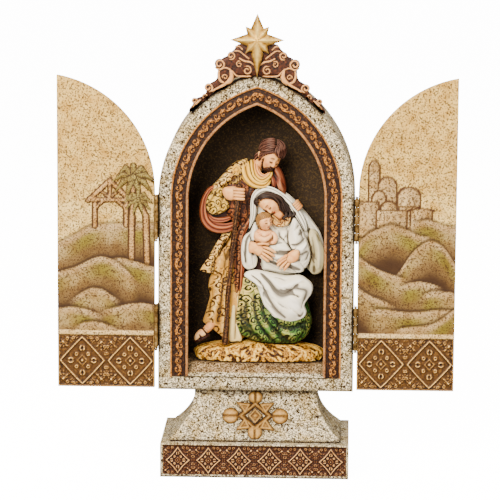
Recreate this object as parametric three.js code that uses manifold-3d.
// Triptych altarpiece: a pointed-arch niche on a stepped pedestal, closed by two
// arched wings on butt hinges, with a crested top and a figure group inside.
// Millimetres, +Z up, the front faces -Y, the underside rests on z = 0.

import * as THREE from "three";
import { ConvexGeometry } from "three/addons/geometries/ConvexGeometry.js";
import { mergeVertices } from "three/addons/utils/BufferGeometryUtils.js";
import Module from "manifold-3d";

const wasm = await Module();
wasm.setup();

// ---------------------------------------------------------------- dimensions
const GAP = 0.3;                 // air between pieces that touch

const PLINTH_WIDTH = 124.4;
const PLINTH_DEPTH = 74;
const PLINTH_HEIGHT = 22.8;
const PLINTH_PANEL_HEIGHT = 18.6;
const PLINTH_BORDER = 1.9;
const PANEL_SINK = 1.2;          // panels lie this far behind their frame
const PANEL_RELIEF = 0.9;        // and their ornament rises this much

const COVE_WIDTH = 112;
const COVE_DEPTH = 61;
const COVE_LIP = 2.2;
const NECK_WIDTH = 81;
const NECK_DEPTH = 31;
const NECK_TOP = 55.5;

const CASE_HALF_WIDTH = 64.5;
const CASE_FRONT = -25;
const CASE_BACK = 25;
const CASE_BOTTOM = 55.8;
const CASE_EDGE_ROUND = 4;
const ARCH_SPRING = 183.3;       // height where the arch leaves the upright sides
const ARCH_STEPS = 6;            // facets in half of each arc
const ARCH_OFFSET = 22;          // each arc is struck from this far past the middle
const BAND_OUTER = 55.2;         // half widths of the concentric arches
const BAND_INNER = 46.2;
const NICHE_LIP = 44.5;
const NICHE_WALL = 46;
const NICHE_BOTTOM = 66.3;
const NICHE_FLOOR = 72.5;
const SILL_DEPTH = 12;
const NICHE_BACK = 20.5;

const DOOR_WIDTH = 64;
const DOOR_BOTTOM = 57.3;
const DOOR_THICKNESS = 5;
const DOOR_ARC_OVERRUN = 13.6;   // the arc is struck this far past the free edge
const DOOR_SPRING = 187.9;
const WING_STEPS = 6;            // facets in half of the wing's arc
const RIB_BOTTOM = 92.3;
const RIB_TOP = 95.7;

const HINGE_AXIS_X = 65.6;
const HINGE_LENGTH = 28.5;
const HINGE_CENTRES = { lower: 98.4, upper: 171.2 };
const KNUCKLES = 5;
const KNUCKLE_RADIUS = 1.3;
const BORE_RADIUS = 0.9;
const BARREL_SIDES = 6;
const PIN_RADIUS = 0.45;
const LEAF_THICKNESS = 0.5;
const SWING_GAP = 2.2;           // air between the wings and the case
const DOOR_FACE = CASE_FRONT + SWING_GAP;
const DOOR_HINGE_SIDE = HINGE_AXIS_X + 1.1;

const CREST_BACK = -18;
const CREST_FACE = -27;
const CREST_RELIEF = 1.1;
const STAR_CENTRE = 289;

const ROOT = 1;                  // relief is rooted this deep in its ground
const TOOL_REACH = 5;            // a cutting shape stands this far past the face

// ----------------------------------------------------------------- materials
const paint = (color, roughness, metalness = 0) =>
  new THREE.MeshStandardMaterial({ color, roughness, metalness });

const STONE = paint(0xcfc5b2, 0.8);
const GOLD_WASH = paint(0xd9b884, 0.6);
const COPPER = paint(0x7a4a32, 0.5, 0.2);
const GILT = paint(0xdcb866, 0.4, 0.5);
const FIGURES = paint(0xe6d3b4, 0.55);
const BRASS = paint(0xb08d4f, 0.4, 0.9);

// ------------------------------------------------------------- solid helpers
function solid(geometry) {
  const bare = geometry.clone();
  for (const name of Object.keys(bare.attributes)) {
    if (name !== "position") bare.deleteAttribute(name);
  }
  const merged = mergeVertices(bare, 1e-4);
  const mesh = new wasm.Mesh({
    numProp: 3,
    vertProperties: new Float32Array(merged.attributes.position.array),
    triVerts: new Uint32Array(merged.index.array),
  });
  mesh.merge();
  return new wasm.Manifold(mesh);
}

function join(solids) {
  return solids.reduce((sum, next) => sum.add(next));
}

// The same solid with any sealed hollow inside it filled.
function filled(manifold) {
  return join(manifold.decompose().filter((shell) => shell.volume() > 0));
}

function geometryOf(manifold) {
  const mesh = manifold.getMesh();
  const geometry = new THREE.BufferGeometry();
  geometry.setAttribute("position", new THREE.BufferAttribute(mesh.vertProperties, 3));
  geometry.setIndex(new THREE.BufferAttribute(mesh.triVerts, 1));
  geometry.computeVertexNormals();
  return geometry;
}

function named(name, manifold, material) {
  const mesh = new THREE.Mesh(geometryOf(manifold), material);
  mesh.name = name;
  return mesh;
}

function box(xMin, xMax, yMin, yMax, zMin, zMax) {
  const geometry = new THREE.BoxGeometry(xMax - xMin, yMax - yMin, zMax - zMin);
  geometry.translate((xMin + xMax) / 2, (yMin + yMax) / 2, (zMin + zMax) / 2);
  return solid(geometry);
}

// An outline drawn in x and z, as a slab between y = back and y = front.
function slab(shape, back, front, curveSegments = 8) {
  const geometry = new THREE.ExtrudeGeometry(shape, {
    depth: back - front,
    bevelEnabled: false,
    curveSegments,
  });
  geometry.rotateX(Math.PI / 2);
  geometry.translate(0, back, 0);
  return solid(geometry);
}

function outline(points) {
  return new THREE.Shape(points.map(([x, z]) => new THREE.Vector2(x, z)));
}

// A strip of varying width that follows a line of points in x and z.
function strip(points, widthAt) {
  const left = [];
  const right = [];
  points.forEach(([x, z], i) => {
    const [x0, z0] = points[Math.max(i - 1, 0)];
    const [x1, z1] = points[Math.min(i + 1, points.length - 1)];
    const length = Math.hypot(x1 - x0, z1 - z0);
    const nx = -(z1 - z0) / length;
    const nz = (x1 - x0) / length;
    const half = widthAt(i / (points.length - 1)) / 2;
    left.push([x + nx * half, z + nz * half]);
    right.unshift([x - nx * half, z - nz * half]);
  });
  return outline(left.concat(right));
}

// A loft through rings that all have the same number of points, closed at both ends.
function loft(rings) {
  const count = rings[0].length;
  const vertices = [];
  const faces = [];
  for (const ring of rings) {
    for (const p of ring) vertices.push(p.x, p.y, p.z);
  }
  for (let r = 0; r < rings.length - 1; r += 1) {
    for (let k = 0; k < count; k += 1) {
      const a = r * count + k;
      const b = r * count + ((k + 1) % count);
      faces.push(a, b, b + count, a, b + count, a + count);
    }
  }
  const last = (rings.length - 1) * count;
  for (const [start, turn] of [[0, 1], [last, 0]]) {
    const centre = new THREE.Vector3();
    for (let k = 0; k < count; k += 1) {
      centre.add(rings[start / count][k]);
    }
    centre.divideScalar(count);
    const tip = vertices.length / 3;
    vertices.push(centre.x, centre.y, centre.z);
    for (let k = 0; k < count; k += 1) {
      const a = start + k;
      const b = start + ((k + 1) % count);
      if (turn) faces.push(tip, b, a);
      else faces.push(tip, a, b);
    }
  }
  const geometry = new THREE.BufferGeometry();
  geometry.setAttribute("position", new THREE.Float32BufferAttribute(vertices, 3));
  geometry.setIndex(faces);
  return solid(geometry);
}

// Cloth hung in level rings. Each station is [x, y, z, half width, half depth, lean]:
// lean lifts the ring's -x side. Folds swell the ring in a wave around it.
function robe(stations, { sides = 14, folds = 7, depth = 0.04, twist = 0.6 } = {}) {
  const rings = stations.map(([x, y, z, rx, ry, lean = 0], level) => {
    const ring = [];
    for (let k = 0; k < sides; k += 1) {
      const angle = (2 * Math.PI * k) / sides;
      const swell = 1 + depth * Math.cos(folds * angle + twist * level);
      const cos = Math.cos(angle);
      ring.push(new THREE.Vector3(
        x + rx * swell * cos,
        y + ry * swell * Math.sin(angle),
        z - lean * cos,
      ));
    }
    return ring;
  });
  return loft(rings);
}

// A limb, neck or roll of cloth: stations are [x, y, z, radius], smoothed between.
function limb(stations, { sides = 5, steps = 3 } = {}) {
  const path = new THREE.CatmullRomCurve3(
    stations.map(([x, y, z]) => new THREE.Vector3(x, y, z)), false, "centripetal");
  const rings = [];
  for (let i = 0; i <= steps; i += 1) {
    const t = i / steps;
    const centre = path.getPoint(t);
    const along = path.getTangent(t);
    const side = new THREE.Vector3(0, -1, 0).cross(along).normalize();
    const front = along.clone().cross(side).normalize();
    const place = t * (stations.length - 1);
    const index = Math.min(Math.floor(place), stations.length - 2);
    const radius = THREE.MathUtils.lerp(
      stations[index][3], stations[index + 1][3], place - index);
    const ring = [];
    for (let k = 0; k < sides; k += 1) {
      const angle = (2 * Math.PI * k) / sides;
      ring.push(centre.clone()
        .addScaledVector(side, radius * Math.cos(angle))
        .addScaledVector(front, radius * Math.sin(angle)));
    }
    rings.push(ring);
  }
  return loft(rings);
}

// An ellipsoid with its long axis along "up" and its front towards "face".
function ovoid(centre, radii, up, face, segments = [7, 5]) {
  const geometry = new THREE.SphereGeometry(1, segments[0], segments[1]);
  geometry.rotateX(Math.PI / 2);
  geometry.scale(radii[0], radii[1], radii[2]);
  const z = new THREE.Vector3(...up).normalize();
  const y = new THREE.Vector3(...face).negate();
  y.addScaledVector(z, -y.dot(z)).normalize();
  const x = y.clone().cross(z);
  geometry.applyMatrix4(new THREE.Matrix4().makeBasis(x, y, z));
  geometry.translate(...centre);
  return solid(geometry);
}

// --------------------------------------------------------------- the outlines
// The pointed arch with the given half width: upright sides and two arcs.
function archOutline(halfWidth, bottom) {
  const radius = halfWidth + ARCH_OFFSET;
  const apex = Math.acos(ARCH_OFFSET / radius);
  const shape = new THREE.Shape();
  shape.moveTo(-halfWidth, bottom);
  shape.lineTo(halfWidth, bottom);
  shape.lineTo(halfWidth, ARCH_SPRING);
  shape.absarc(-ARCH_OFFSET, ARCH_SPRING, radius, 0, apex, false);
  shape.absarc(ARCH_OFFSET, ARCH_SPRING, radius, Math.PI - apex, Math.PI, false);
  shape.closePath();
  return shape;
}

// One wing with its hinge side at x = 0 and its free edge at x = width.
function wingOutline(width, bottom, grow = 0) {
  const centre = width + DOOR_ARC_OVERRUN;
  const radius = centre + grow;
  const top = DOOR_SPRING + Math.sqrt(radius ** 2 - DOOR_ARC_OVERRUN ** 2);
  const start = Math.acos(-DOOR_ARC_OVERRUN / radius);
  const shape = new THREE.Shape();
  shape.moveTo(width, bottom);
  shape.lineTo(width, top);
  shape.absarc(centre, DOOR_SPRING, radius, start, Math.PI, false);
  shape.lineTo(centre - radius, bottom);
  shape.closePath();
  return shape;
}

// A diamond whose sides bow inwards.
function diamondPoints(cx, cz, halfWidth, halfHeight, scale = 1) {
  const bow = 0.42;
  const points = [];
  for (let k = 0; k < 4; k += 1) {
    const angle = (Math.PI / 2) * k;
    const middle = angle + Math.PI / 4;
    points.push([
      cx + scale * halfWidth * Math.cos(angle),
      cz + scale * halfHeight * Math.sin(angle)]);
    points.push([
      cx + scale * halfWidth * bow * Math.sign(Math.cos(middle)),
      cz + scale * halfHeight * bow * Math.sign(Math.sin(middle))]);
  }
  return points;
}

// A diamond tile: a raised bowed line round a flower of four petals.
function diamondTile(cx, cz, halfWidth, halfHeight, back, front, petals = 4) {
  const ring = outline(diamondPoints(cx, cz, halfWidth, halfHeight));
  ring.holes.push(new THREE.Path(
    diamondPoints(cx, cz, halfWidth, halfHeight, 0.84)
      .map(([x, z]) => new THREE.Vector2(x, z))));
  const parts = [slab(ring, back, front)];
  for (let k = 0; k < petals; k += 1) {
    const angle = (Math.PI / 2) * k;
    const reach = 0.3 * (k % 2 ? halfHeight : halfWidth);
    const x = cx + reach * Math.cos(angle);
    const z = cz + reach * Math.sin(angle);
    const petal = diamondPoints(x, z, 0.2 * halfWidth, 0.2 * halfHeight);
    parts.push(slab(outline(petal.filter((_, i) => i % 2 === 0)), back, front));
  }
  return join(parts);
}

// ------------------------------------------------------------------ pedestal
// Half sizes of the cove at height t, from 0 at its lip to 1 at the neck.
function coveRing(t, grow) {
  const sweep = 1 - (1 - t) ** 2.3;
  const halfWidth = THREE.MathUtils.lerp(COVE_WIDTH, NECK_WIDTH, sweep) / 2 + grow;
  const halfDepth = THREE.MathUtils.lerp(COVE_DEPTH, NECK_DEPTH, sweep) / 2 + grow;
  const lip = PLINTH_HEIGHT + COVE_LIP;
  const z = THREE.MathUtils.lerp(lip, NECK_TOP, t);
  return [
    new THREE.Vector3(-halfWidth, -halfDepth, z),
    new THREE.Vector3(halfWidth, -halfDepth, z),
    new THREE.Vector3(halfWidth, halfDepth, z),
    new THREE.Vector3(-halfWidth, halfDepth, z),
  ];
}

function cove(grow = 0) {
  const foot = coveRing(0, grow);
  const rings = [foot.map((p) => new THREE.Vector3(p.x, p.y, PLINTH_HEIGHT - 1))];
  const steps = 8;
  for (let i = 0; i <= steps; i += 1) rings.push(coveRing(i / steps, grow));
  return loft(rings);
}

// A bud split by a groove, pointing along "angle".
function bud(cx, cz, length, width, angle) {
  const halves = [];
  for (const side of [-1, 1]) {
    const half = [];
    const turns = 4;
    for (let k = 0; k <= turns; k += 1) {
      const a = (Math.PI * k) / turns;
      const u = (length / 2) * Math.cos(a);
      const v = side * ((width / 2) * Math.sin(a) ** 0.8 + 0.35);
      half.push([
        cx + u * Math.cos(angle) - v * Math.sin(angle),
        cz + u * Math.sin(angle) + v * Math.cos(angle)]);
    }
    halves.push(half);
  }
  return halves;
}

// The emblem: a square boss, a split bud on each side and a leaf at each corner.
function emblem() {
  const centre = 38;
  const shapes = [];
  const buds = [
    [0, centre + 10.8, 9, Math.PI / 2],
    [0, centre - 8.6, 8.4, Math.PI / 2],
    [-16.4, centre - 0.5, 9.6, 0],
    [16.4, centre - 0.5, 9.6, 0],
  ];
  for (const [x, z, length, angle] of buds) {
    for (const half of bud(x, z, length, 7.6, angle)) shapes.push(half);
  }
  shapes.push(diamondPoints(0, centre, 4.4, 4.4).filter((_, i) => i % 2 === 0));
  for (const sx of [-1, 1]) {
    for (const sz of [-1, 1]) {
      const reach = 6.6;
      shapes.push([
        [sx * 3.2, centre + sz * 2.2],
        [sx * 8.6, centre + sz * (reach - 3.4)],
        [sx * 12.4, centre + sz * (reach + 0.4)],
        [sx * 8.4, centre + sz * (reach + 0.2)],
        [sx * 4.6, centre + sz * (reach + 0.6)],
        [sx * 1.4, centre + sz * (reach - 1.6)],
      ]);
    }
  }
  return join(shapes.map((points) => slab(outline(points), 0, -40)));
}

function pedestal() {
  const halfWidth = PLINTH_WIDTH / 2;
  const halfDepth = PLINTH_DEPTH / 2;
  let body = box(-halfWidth, halfWidth, -halfDepth, halfDepth, 0, PLINTH_HEIGHT);
  const panelBottom = (PLINTH_HEIGHT - PLINTH_PANEL_HEIGHT) / 2;
  const panelTop = panelBottom + PLINTH_PANEL_HEIGHT;
  const middle = PLINTH_HEIGHT / 2;
  const faces = [
    { turn: 0, reach: halfDepth, half: halfWidth, tiles: 6, petals: 4 },
    { turn: 90, reach: halfWidth, half: halfDepth, tiles: 3, petals: 0 },
    { turn: -90, reach: halfWidth, half: halfDepth, tiles: 3, petals: 0 },
  ];
  const tileSpacing = 20.2;
  for (const { turn, reach, half, tiles, petals } of faces) {
    const sunk = -reach + PANEL_SINK;
    const panel = box(-half + PLINTH_BORDER, half - PLINTH_BORDER,
      -reach - 1, sunk, panelBottom, panelTop);
    body = body.subtract(panel.rotate([0, 0, turn]));
    for (let i = 0; i < tiles; i += 1) {
      const x = (i - (tiles - 1) / 2) * tileSpacing;
      const tile = diamondTile(x, middle, 9.2, 9, sunk + 0.5, sunk - PANEL_RELIEF, petals);
      body = body.add(tile.rotate([0, 0, turn]));
    }
  }
  return join([body, cove(), emblem().intersect(cove(1.3))]);
}

// ------------------------------------------------------------------- cabinet
function caseEnvelope(grow = 0) {
  const round = CASE_EDGE_ROUND;
  const geometry = new THREE.ExtrudeGeometry(
    archOutline(CASE_HALF_WIDTH + grow, CASE_BOTTOM - grow), {
      depth: CASE_BACK - CASE_FRONT - 2 * round + 2 * grow,
      bevelEnabled: true,
      bevelThickness: round,
      bevelSize: round,
      bevelOffset: -round,
      bevelSegments: 2,
      curveSegments: ARCH_STEPS,
    });
  geometry.rotateX(Math.PI / 2);
  geometry.translate(0, CASE_BACK - round + grow, 0);
  return solid(geometry);
}

// A point on the band's middle line: s runs from the left foot to the right foot.
function bandPoint(s, sideways) {
  const half = (BAND_OUTER + BAND_INNER) / 2;
  const radius = half + ARCH_OFFSET;
  const upright = ARCH_SPRING - NICHE_BOTTOM - 4;
  const sweep = Math.acos(ARCH_OFFSET / radius);
  const total = upright + radius * sweep;
  const mirrored = s > 0.5;
  const along = (mirrored ? 1 - s : s) * 2 * total;
  const flip = mirrored ? 1 : -1;
  const out = mirrored ? -sideways : sideways;
  if (along < upright) {
    return [flip * (half + out), NICHE_BOTTOM + 4 + along];
  }
  const angle = (along - upright) / radius;
  return [
    flip * ((radius + out) * Math.cos(angle) - ARCH_OFFSET),
    ARCH_SPRING + (radius + out) * Math.sin(angle)];
}

// A running vine with a leaf in every bend.
function bandVine(back, front) {
  const waves = 15;
  const perWave = 4;
  const points = [];
  for (let i = 0; i <= waves * perWave; i += 1) {
    const s = i / (waves * perWave);
    points.push(bandPoint(s, 2.4 * Math.sin(2 * Math.PI * waves * s)));
  }
  const parts = [slab(strip(points, () => 1.3), back, front)];
  for (let i = 0; i < 2 * waves; i += 1) {
    const s = (i + 0.5) / (2 * waves);
    const inward = i % 2 ? 1.7 : -1.7;
    const [x, z] = bandPoint(s, inward);
    parts.push(slab(outline(diamondPoints(x, z, 2, 2).filter((_, k) => k % 2 === 0)),
      back, front));
  }
  return join(parts);
}

function sill() {
  const shape = new THREE.Shape();
  shape.moveTo(CASE_FRONT + 0.5, NICHE_BOTTOM - 1);
  shape.lineTo(NICHE_BACK + 1, NICHE_BOTTOM - 1);
  shape.lineTo(NICHE_BACK + 1, NICHE_FLOOR);
  shape.lineTo(CASE_FRONT + SILL_DEPTH, NICHE_FLOOR);
  shape.lineTo(CASE_FRONT + 0.5, NICHE_BOTTOM);
  shape.closePath();
  const length = 2 * NICHE_WALL + 2;
  const geometry = new THREE.ExtrudeGeometry(shape, { depth: length, bevelEnabled: false });
  geometry.rotateX(Math.PI / 2);
  geometry.rotateZ(Math.PI / 2);
  geometry.translate(-length / 2, 0, 0);
  return solid(geometry);
}

function cabinet() {
  const sunk = CASE_FRONT + PANEL_SINK;
  const lipDepth = 3;
  const mouth = slab(archOutline(NICHE_LIP, NICHE_BOTTOM), CASE_FRONT + lipDepth,
    CASE_FRONT - TOOL_REACH, ARCH_STEPS);
  const chamber = slab(archOutline(NICHE_WALL, NICHE_BOTTOM), NICHE_BACK,
    CASE_FRONT + lipDepth, ARCH_STEPS);
  const bandRing = slab(archOutline(BAND_OUTER, NICHE_BOTTOM), sunk, CASE_FRONT - TOOL_REACH, ARCH_STEPS)
    .subtract(slab(archOutline(BAND_INNER, NICHE_BOTTOM - TOOL_REACH), sunk + 1,
      CASE_FRONT - TOOL_REACH - ROOT, ARCH_STEPS));
  return caseEnvelope()
    .subtract(bandRing)
    .add(bandVine(sunk + 0.5, sunk - PANEL_RELIEF))
    .subtract(mouth.add(chamber))
    .add(sill());
}

// --------------------------------------------------------------------- wings
// A hill as a layer of the relief: its top line runs down to the rib.
function hill(topLine, level, mirror) {
  const points = new THREE.CatmullRomCurve3(
    topLine.map(([x, z]) => new THREE.Vector3(mirror * x, z, 0)), false, "centripetal")
    .getPoints(2 * (topLine.length - 1)).map((p) => [p.x, p.y]);
  const floor = RIB_TOP - 1;
  points.push([points[points.length - 1][0], floor]);
  points.push([points[0][0], floor]);
  if (mirror < 0) points.reverse();
  return slab(outline(points), DOOR_FACE + ROOT, DOOR_FACE - level);
}

// Top lines of the hills, from the hinge side outwards, far hills first.
const LEFT_HILLS = [
  [[66, 167], [82, 166.8], [95, 166.5], [106, 165.5], [113, 163], [120, 158.5], [131, 153]],
  [[66, 138], [80, 142], [90, 144.2], [98, 142], [110, 136]],
  [[76, 126], [85, 136], [92, 141.5], [100, 144.8], [108, 143.2], [118, 138.2], [131, 134]],
  [[88, 115], [95, 119], [101, 122.8], [108, 123.8], [116, 120], [124, 114]],
  [[99, 104], [105, 107], [113, 109.8], [122, 110.8], [131, 110]],
  [[66, 112.5], [74, 114], [83, 113.4], [93, 111], [104, 108]],
  [[88, 96], [97, 99.2], [106, 101.3], [114, 100.4], [122, 97]],
];
const RIGHT_HILLS = [
  [[97, 168], [105, 170.4], [113, 171.4], [121, 168.2], [131, 166.6]],
  [[66, 153], [71, 160.5], [78, 165], [88, 168.4], [97, 165.6], [108, 161], [118, 161]],
  [[99, 138], [102, 150], [108, 155.8], [115, 158.6], [121, 156.4], [125.5, 149], [127, 138]],
  [[66, 148], [74, 142], [83, 137.2], [93, 134], [102, 132]],
  [[92, 127], [100, 129.6], [108, 130.6], [116, 129], [124, 126]],
  [[66, 127], [75, 121], [84, 117.6], [94, 113]],
  [[106, 119], [113, 123.6], [121, 124.4], [131, 123.4]],
  [[72, 111.6], [84, 112], [96, 110.4], [108, 110.6], [120, 112], [131, 111.6]],
  [[88, 97], [97, 99.8], [107, 100.8], [117, 103], [126, 109], [131, 113]],
];

function hills(lines, mirror) {
  return lines.map((line, i) => hill(line, 0.5 + (0.9 * i) / lines.length, mirror));
}

function bar(x0, z0, x1, z1, width, rise) {
  return slab(strip([[x0, z0], [x1, z1]], () => width), DOOR_FACE + ROOT, DOOR_FACE - rise);
}

// The stable: two posts with knee braces, a tie beam and a trussed gable.
function stable() {
  const rise = 0.9;
  const ground = 165;
  const beam = 182.6;
  const left = -106;
  const right = -85.4;
  const apex = [-96.2, 195.6];
  return [
    bar(left, ground, left, beam, 2.6, rise),
    bar(right, ground, right, beam, 2.6, rise),
    bar(left - 4, beam, right + 1.5, beam, 2.2, rise),
    bar(left - 4.5, beam - 0.5, apex[0], apex[1], 2.6, rise),
    bar(right + 2.5, beam, apex[0], apex[1], 2.6, rise),
    bar(apex[0], beam, apex[0], apex[1], 1.6, rise),
    bar(left, beam - 6, left + 6, beam, 1.5, rise),
    bar(right, beam - 6, right - 6, beam, 1.5, rise),
  ];
}

// A palm: a leaning trunk and a crown of drooping leaves.
function palm(trunk, crown, size) {
  const [cx, cz] = crown;
  const parts = [slab(strip([...trunk, crown], () => 2.4), DOOR_FACE + ROOT, DOOR_FACE - 1.5)];
  const leaves = 7;
  for (let k = 0; k < leaves; k += 1) {
    const angle = (2 * Math.PI * (k + 0.25)) / leaves;
    const points = [];
    for (const t of [0.05, 0.5, 1]) {
      points.push([
        cx + size * t * Math.cos(angle),
        cz + size * (0.75 * t * Math.sin(angle) - 0.35 * t * t)]);
    }
    const width = (t) => 0.5 + 0.26 * size * Math.sin(Math.PI * Math.min(t + 0.2, 1));
    parts.push(slab(strip(points, width), DOOR_FACE + ROOT, DOOR_FACE - 1.1 - 0.1 * (k % 2)));
  }
  return parts;
}

// A house of the town: a block, with a shallow dome on it where one is given.
function house(x0, x1, z0, z1, dome, rise) {
  const parts = [box(x0, x1, DOOR_FACE - rise, DOOR_FACE + ROOT, z0, z1)];
  if (dome > 0) {
    const shape = new THREE.Shape();
    shape.absellipse((x0 + x1) / 2, z1 - 0.1, (x1 - x0) / 2 - 0.6, dome, 0, Math.PI, false);
    parts.push(slab(shape, DOOR_FACE + ROOT, DOOR_FACE - rise, 3));
  }
  return parts;
}

function town() {
  return [
    ...house(70.5, 75.5, 168, 202, 0, 0.4),
    ...house(75.4, 81, 175, 206.5, 3.4, 0.8),
    ...house(81.6, 91, 178, 195.6, 4, 0.7),
    ...house(76.6, 85, 178, 187.4, 3.4, 1.0),
    ...house(93.4, 107, 178, 189.8, 3.6, 0.8),
    ...house(70.4, 80, 165, 182.6, 0, 0.9),
    ...house(83, 91.4, 170, 184.4, 0, 1.2),
    ...house(92, 106, 165, 180.6, 0, 0.6),
    ...house(80.6, 97, 162, 179, 0, 1.1),
    ...house(99.6, 113.4, 164, 177.4, 1.6, 0.7),
  ];
}

// One wing in place, open flat beside the case: side is -1 left, 1 right.
function wing(side) {
  const face = DOOR_FACE;
  const back = face + DOOR_THICKNESS;
  const place = (shape) => {
    const points = shape.getPoints(WING_STEPS)
      .map((p) => [side * (DOOR_HINGE_SIDE + p.x), p.y]);
    if (side < 0) points.reverse();
    return outline(points);
  };
  const plain = place(wingOutline(DOOR_WIDTH, DOOR_BOTTOM));
  const board = slab(plain, back, face);
  const envelope = slab(plain, back, face - 2);
  const picture = side < 0
    ? [...hills(LEFT_HILLS, -1), ...stable(),
      ...palm([[-82, 143], [-81.6, 172]], [-80.6, 199.5], 14),
      ...palm([[-71.6, 140], [-72.4, 172]], [-77.6, 183.5], 9.5)]
    : [...hills(RIGHT_HILLS, 1), ...town()];
  const middle = side * (DOOR_HINGE_SIDE + DOOR_WIDTH / 2);
  const borderMiddle = (DOOR_BOTTOM + RIB_BOTTOM) / 2;
  const rib = box(middle - DOOR_WIDTH / 2, middle + DOOR_WIDTH / 2,
    face - 1.5, face + ROOT, RIB_BOTTOM, RIB_TOP);
  const tiles = [-1, 1].map((half) => diamondTile(
    middle + half * 15.9, borderMiddle, 14.6, 16, face + ROOT, face - PANEL_RELIEF));
  return join([board, rib, ...tiles, ...picture]).intersect(envelope);
}

// -------------------------------------------------------------------- hinges
function barrelPart(zMin, zMax) {
  const ring = new THREE.Shape();
  const bore = new THREE.Path();
  ring.absarc(0, 0, KNUCKLE_RADIUS, 0, 2 * Math.PI, false);
  bore.absarc(0, 0, BORE_RADIUS, 0, 2 * Math.PI, true);
  ring.holes.push(bore);
  const geometry = new THREE.ExtrudeGeometry(ring, {
    depth: zMax - zMin,
    bevelEnabled: false,
    curveSegments: BARREL_SIDES / 2,
  });
  geometry.translate(0, 0, zMin);
  return solid(geometry);
}

// One leaf about the axis x = y = 0, with its knuckles: even ones, or odd ones.
function hingeLeaf(first, plateInner, plateEnd) {
  const pitch = HINGE_LENGTH / KNUCKLES;
  const outer = plateInner + Math.sign(plateInner) * LEAF_THICKNESS;
  const [xMin, xMax] = [Math.min(plateInner, outer), Math.max(plateInner, outer)];
  const clearOfBarrel = KNUCKLE_RADIUS + GAP;
  const parts = [box(xMin, xMax, clearOfBarrel, plateEnd,
    -HINGE_LENGTH / 2, HINGE_LENGTH / 2)];
  for (let k = first; k < KNUCKLES; k += 2) {
    const zMin = -HINGE_LENGTH / 2 + k * pitch + GAP / 2;
    const zMax = zMin + pitch - GAP;
    parts.push(barrelPart(zMin, zMax));
    parts.push(box(xMin, xMax, 0.95, clearOfBarrel + 0.5, zMin, zMax));
  }
  return join(parts);
}

function hingePin() {
  const end = HINGE_LENGTH / 2 + GAP;
  const head = 1;
  const profile = [
    [0, -end - head], [1.1, -end - head], [1.1, -end], [PIN_RADIUS, -end],
    [PIN_RADIUS, end], [1.1, end], [1.1, end + head], [0, end + head],
  ];
  const geometry = new THREE.LatheGeometry(
    profile.map(([r, z]) => new THREE.Vector2(r, z)), BARREL_SIDES);
  geometry.rotateX(Math.PI / 2);
  return solid(geometry);
}

function hinge(side, level) {
  const at = (manifold) => manifold.translate(
    [side * HINGE_AXIS_X, CASE_FRONT, HINGE_CENTRES[level]]);
  const name = `hinge_${side < 0 ? "left" : "right"}_${level}`;
  const toCase = -side;
  const caseInner = toCase * (HINGE_AXIS_X - CASE_HALF_WIDTH - GAP - LEAF_THICKNESS);
  const doorInner = -toCase * (DOOR_HINGE_SIDE - HINGE_AXIS_X - GAP - LEAF_THICKNESS);
  const doorEnd = SWING_GAP + DOOR_THICKNESS - 0.4;
  return [
    named(`${name}_case_leaf`, at(hingeLeaf(0, caseInner, 12)), BRASS),
    named(`${name}_door_leaf`, at(hingeLeaf(1, doorInner, doorEnd)), BRASS),
    named(`${name}_pin`, at(hingePin()), BRASS),
  ];
}

// ------------------------------------------------------------ crest and star
// A scroll: a stem that winds into an eye, drawn from the eye outwards.
function scroll(cx, cz, radius, from, turns) {
  const points = [];
  const steps = Math.round(5.5 * Math.abs(turns));
  for (let i = 0; i <= steps; i += 1) {
    const t = i / steps;
    const angle = from + 2 * Math.PI * turns * t;
    const reach = radius * (0.22 + 0.78 * t);
    points.push([cx + reach * Math.cos(angle), cz + reach * Math.sin(angle)]);
  }
  return points;
}

// Right half of the crest's backing, from the middle outwards and down.
const CREST_OUTLINE = [
  [0, 289], [9, 288], [14, 286], [16, 283], [19.5, 281], [20.4, 277.6], [23.5, 277],
  [27.6, 275], [28.6, 272], [26, 269.6], [25.4, 266], [27.6, 263.6], [26.6, 260.4],
  [29.6, 260.2], [33.4, 260.6], [35.2, 257.4], [34.6, 254], [37.4, 251.2], [41, 250.4],
  [43.2, 249.4], [42.4, 246.4], [44.6, 242.6], [45, 238], [38, 242], [30, 250],
  [22, 256], [16, 261.6], [8, 264.2], [0, 264.6],
];

function crestStems() {
  const thin = () => 1.3;
  const taper = (t) => 1 + 1.6 * Math.sin(Math.PI * t);
  return [
    [scroll(24.4, 273, 3.6, 2.6, 1.4), thin],
    [scroll(17, 278.6, 2.7, 2.8, 1.3), thin],
    [scroll(6.4, 269, 3.1, 3.4, -1.3), thin],
    [scroll(12, 272.6, 2.2, 0.4, 1.2), thin],
    [scroll(31.6, 257.6, 2.9, 2.2, 1.3), thin],
    [scroll(34, 251.6, 2, 2.4, 1.2), thin],
    [scroll(40.6, 248.6, 2, 2.4, 1.2), thin],
    [[[3, 265.4], [8, 265.2], [13.4, 265.6], [16.4, 268.6], [20, 270.6], [23, 270]], thin],
    [[[4.6, 276], [8.4, 279], [12, 281.6], [15.6, 281.4]], thin],
    [[[9, 282], [12, 284.6], [14.6, 284]], thin],
    [[[17.6, 269.6], [16.6, 265], [19, 260.6], [24, 257.4], [30, 255]], taper],
    [[[24.6, 269.4], [25, 265.6], [23.6, 262], [20.6, 260.6]], thin],
    [[[36, 250], [39.4, 246.4], [43.4, 241.4]], taper],
  ];
}

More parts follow.
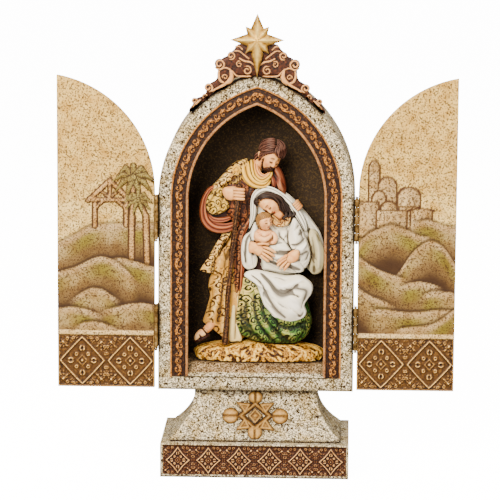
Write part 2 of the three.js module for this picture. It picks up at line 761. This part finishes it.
function crest() {
  const left = CREST_OUTLINE.slice(1, -1).map(([x, z]) => [-x, z]).reverse();
  const around = [...CREST_OUTLINE, ...left].reverse();
  const parts = [slab(outline(around), CREST_BACK, CREST_FACE)];
  for (const [points, width] of crestStems()) {
    for (const side of [-1, 1]) {
      const placed = points.map(([x, z]) => [side * x, z]);
      const shape = strip(placed, width);
      parts.push(slab(shape, CREST_FACE + 3, CREST_FACE - CREST_RELIEF));
    }
  }
  const shut = [-1, 1].map((side) => {
    const points = wingOutline(DOOR_WIDTH + 0.6, DOOR_BOTTOM, 1)
      .getPoints(WING_STEPS).map((p) => [side * (HINGE_AXIS_X - 1.1 - p.x), p.y]);
    if (side > 0) points.reverse();
    return slab(outline(points), CASE_FRONT, CASE_FRONT - 20);
  });
  return join(parts).subtract(caseEnvelope(GAP)).subtract(join(shut));
}

// A ray of the star: a ridged kite from the middle to its tip.
function ray(angle, length, shoulder, halfWidth, back, ridge, edge) {
  const cos = Math.cos(angle);
  const sin = Math.sin(angle);
  const at = (along, across, y) => new THREE.Vector3(
    along * cos - across * sin, y, along * sin + across * cos);
  const points = [];
  for (const [along, across] of [[-1.5, 0], [length, 0], [shoulder, halfWidth],
    [shoulder, -halfWidth]]) {
    points.push(at(along, across, back));
    points.push(at(along, across, edge));
  }
  points.push(at(0, 0, ridge));
  points.push(at(shoulder, 0, ridge + 1));
  return solid(new ConvexGeometry(points));
}

function star() {
  const back = CREST_FACE - CREST_RELIEF - GAP;
  const ridge = back - 4;
  const edge = back - 1.2;
  const quarter = Math.PI / 2;
  const rays = [
    ray(quarter, 16, 7, 3.9, back, ridge, edge),
    ray(-quarter, 24, 9, 3.5, back, ridge, edge),
    ray(0, 16, 8, 2.9, back, ridge, edge),
    ray(Math.PI, 16, 8, 2.9, back, ridge, edge),
  ];
  for (const angle of [0.85, Math.PI - 0.85, -0.85, Math.PI + 0.85]) {
    rays.push(ray(angle, 11.6, 5.4, 2, back, ridge + 0.6, edge));
  }
  return join(rays).translate([0, 0, STAR_CENTRE]);
}

// -------------------------------------------------------------- figure group
// The straw mound that the group kneels and stands on.
function strawMound() {
  const base = NICHE_FLOOR + GAP;
  return robe([
    [1.8, 2, base, 40.5, 14.6],
    [1.8, 2, base + 3, 42.2, 15.6],
    [1.6, 2.2, base + 8, 41.4, 15],
    [1.4, 2.4, base + 11, 38, 13.4],
    [1.4, 2.6, base + 12, 34, 11.5],
  ], { sides: 16, folds: 8, depth: 0.015, twist: 1.7 });
}

function josephRobes() {
  return [
    robe([
      [-19, 3.5, 84, 8, 8, 3],
      [-20.4, 3.6, 92, 10.8, 9, 7],
      [-20.6, 3.8, 107, 12.8, 10, 1],
      [-17.6, 4.6, 130, 12.6, 10, 0],
      [-12, 5.6, 153, 12, 9.6, 0],
      [-5, 6, 180, 13, 9, 0],
      [-0.6, 5.2, 197, 13.6, 7.6, 0],
      [1.5, 4.4, 206, 6, 5, 0],
    ], { depth: 0.05, twist: 0.1 }),
    robe([
      [-24, 6.6, 133.4, 13, 9.4, 0.5],
      [-15.2, 6.6, 155, 13.2, 9.8, 0],
      [-7.6, 7, 182, 15.4, 9.4, 0],
      [-4, 6.4, 194, 15.4, 8.6, 0],
      [-2.4, 5.4, 202, 12.8, 7, 0],
    ], { sides: 12, folds: 4, twist: 0.2 }),
    limb([[-13, -1, 156, 4], [-13.4, -2, 132, 3.6], [-14.6, -3, 108, 3.2],
      [-15.6, -4, 86, 2.8]], { steps: 4 }),
  ];
}

function josephArms() {
  return [
    limb([[-10, 3, 202, 5], [-20, 1, 193.6, 7], [-27.6, -1, 183, 7.6],
      [-29.4, -3, 174, 7]]),
    limb([[-31.4, -3, 177, 6.6], [-26.4, -6.4, 180.6, 6.8], [-21.4, -9, 184, 5.2]],
      { steps: 2 }),
    limb([[-31.6, -1, 178, 4.4], [-32.6, -3.4, 169, 4], [-26, -5, 163.6, 4],
      [-16, -5.4, 165.8, 3.4]], { steps: 4 }),
    slab(outline([[-33, 180], [-32, 166], [-24, 162], [-12, 166], [-14, 184]]), 2, -4),
    limb([[7, 4, 201, 4.6], [13.4, 3.4, 197.4, 4.8], [15.2, 3, 187, 5],
      [21, 2, 179, 4.4], [27.6, -2, 176, 4]], { steps: 5 }),
  ];
}

function josephHands() {
  const parts = [ovoid([-17.4, -11, 185.6], [5.6, 2.8, 3.6], [0, 0, 1], [0, -1, 0])];
  for (let k = 0; k < 4; k += 1) {
    const z = 188.6 - 2 * k;
    parts.push(limb([[-15, -12.6, z, 1.1], [-11.4, -14, z - 0.1, 1.1],
      [-8.8, -12.2, z - 0.3, 0.9]], { steps: 2 }));
  }
  return parts;
}

function josephHead() {
  const up = [0.5, -0.3, 0.8];
  const face = [0.45, -0.8, -0.5];
  return [
    limb([[-1, 4.6, 202, 5.2], [3, 2, 205.6, 4.4], [6, 0, 208.6, 4.4]]),
    ovoid([8.2, -1.6, 209], [5.9, 6.6, 8.6], up, face),
    ovoid([11.2, 0.2, 212.6], [8, 7.2, 7.8], up, face),
    limb([[16.6, -2, 213, 2.4], [15.4, 1, 207, 2.8], [10, 4, 203, 2.4]], { steps: 4 }),
    ovoid([3.6, -4.6, 202.4], [3.8, 3.4, 3.8], up, face),
  ];
}

function josephShawl() {
  const rolls = [];
  for (let k = 0; k < 2; k += 1) {
    rolls.push(limb([
      [-12 + 5.4 * k, -0.4 - 0.4 * k, 204.4 - 0.6 * k, 3],
      [-7.6 + 4.6 * k, -5.4, 197 + 0.9 * k, 3],
      [-0.4 + 1.8 * k, -7, 191.6 + 3.4 * k, 2.8],
      [6.6 + 0.2 * k, -5, 195.6 + 2 * k, 2.4],
      [9, -1, 201, 2],
    ], { steps: 4 }));
  }
  return rolls;
}

function josephFeet() {
  return [
    limb([[-28, 3, 99, 3.4], [-34.2, -1, 90.6, 3.2], [-38.2, -6, 86.6, 2.4]]),
    limb([[-18, 2, 88, 3.4], [-16, -6, 86.4, 3], [-14, -11.6, 85.4, 2.2]],
      { steps: 2 }),
  ];
}

function staff() {
  return limb([[-11.6, -11, 195, 1.4], [-14.8, -11, 162, 1.5], [-17.6, -10.6, 132, 1.5],
    [-19.4, -10, 107, 1.5], [-20.6, -9.6, 83, 1.6]]);
}

function josephFigure() {
  return [...josephRobes(), ...josephArms(), ...josephHands(), ...josephHead(),
    ...josephShawl(), ...josephFeet(), staff()];
}

function maryRobes() {
  return [
    robe([
      [10.4, -2, 84, 20, 9.4],
      [11.2, -2.6, 92, 24, 12],
      [11, -2.4, 106, 23.4, 12],
      [10.4, -0.6, 129, 19.4, 9.4],
      [12, 0, 140, 16, 8.4],
    ], { sides: 16, depth: 0.045, twist: 0.75 }),
    robe([
      [22, -8.6, 100.6, 6, 5.4],
      [20.8, -8.8, 103.6, 11, 7.4],
      [18.4, -9, 110, 14.4, 9.2],
      [17.4, -8.8, 123, 18.6, 10],
      [14.4, -7.6, 129, 20, 9],
      [12, -5, 134, 15, 6.4],
    ], { folds: 5, depth: 0.03, twist: 0.5 }),
    robe([
      [12, -1, 130, 15.6, 9],
      [13.6, -2.6, 154, 14.4, 9.2],
      [14.6, -1, 168, 8.6, 5.6],
    ], { sides: 12, folds: 4, depth: 0.03 }),
    robe([
      [19.6, 6, 131, 21, 9.6],
      [18.2, 6, 140, 25.6, 11.4],
      [17.6, 6, 154, 25.2, 11.4],
      [14.4, 5.6, 167, 18.6, 10.4],
      [9.6, 4.2, 179, 13.2, 8.8],
      [6, 3, 187, 9, 7],
      [5.6, 2.4, 190.6, 4.4, 3.6],
    ], { depth: 0.025, twist: 0.1 }),
  ];
}

function maryArms() {
  return [
    limb([[-0.6, -2, 168, 4.6], [-5.4, -6, 158, 4.9], [-5.6, -9.6, 147, 4.8],
      [-4.6, -10.4, 137.6, 4]]),
    limb([[-4.6, -12, 152.8, 3.3], [3.4, -15.4, 151.4, 3], [12, -16, 147.4, 1.4]],
      { steps: 4 }),
    limb([[23, -2, 167, 6], [29, -5.4, 158, 6.2], [29.8, -8.6, 148, 5.8],
      [28.6, -9.4, 140.4, 4]]),
    limb([[27, -13, 148, 3.4], [21.4, -16, 144, 3], [14.4, -16, 139.4, 1.4]],
      { steps: 4 }),
  ];
}

function maryHead() {
  const up = [-0.85, -0.15, 0.48];
  const face = [-0.4, -0.8, -0.45];
  return [
    limb([[17.4, -1, 166, 4.6], [14.6, -4, 171, 4.2], [12, -5.4, 175, 4.2]]),
    ovoid([8.6, -6.4, 179], [6, 6.4, 8.4], up, face),
    limb([[-0.6, -3, 181.6, 2.6], [3.4, -4.4, 185.2, 2.8], [10, -3.4, 185.4, 3],
      [17, -2.4, 181, 3], [20.8, -3.4, 175, 3.2], [21, -4, 170, 2.6]], { steps: 5 }),
    limb([[-2.4, -3, 178, 1.8], [-0.6, -4, 184.6, 1.9], [5.6, -3.6, 189, 2],
      [13.6, -2.4, 185.8, 2], [21.6, -2, 180.4, 2], [26, -2, 174, 2]], { steps: 5 }),
    limb([[9.6, -8, 166.4, 1.6], [15, -9, 164.6, 1.8], [20.6, -7.4, 167.8, 1.6]],
      { steps: 4 }),
  ];
}

function child() {
  return [
    ovoid([4.6, -11.6, 168.2], [5.2, 5.6, 6.4], [-0.1, -0.1, 1], [0.6, -0.75, -0.2],
      [10, 7]),
    limb([[3.6, -9.6, 161.6, 5], [5.6, -11, 157, 6.6], [13, -11.6, 149, 8.4],
      [21, -10.4, 141.6, 6.4], [26, -9, 138.6, 3.6]]),
    limb([[-0.4, -11, 159.4, 2.2], [4, -15.4, 158.6, 2], [9, -16, 160.4, 1.4]],
      { sides: 6, steps: 4 }),
  ];
}

function maryFigure() {
  return [...maryRobes(), ...maryArms(), ...maryHead(), ...child()];
}

function holyFamily() {
  return filled(join([strawMound(), ...josephFigure(), ...maryFigure()]));
}

// ------------------------------------------------------------------ assembly
const altarpiece = new THREE.Group();
altarpiece.add(named("pedestal", pedestal(), STONE));
altarpiece.add(named("cabinet", cabinet(), STONE));
altarpiece.add(named("crest", crest(), COPPER));
altarpiece.add(named("star", star(), GILT));
altarpiece.add(named("holy_family", holyFamily(), FIGURES));
altarpiece.add(named("door_left", wing(-1), GOLD_WASH));
altarpiece.add(named("door_right", wing(1), GOLD_WASH));
for (const side of [-1, 1]) {
  for (const level of ["lower", "upper"]) altarpiece.add(...hinge(side, level));
}

export default altarpiece;
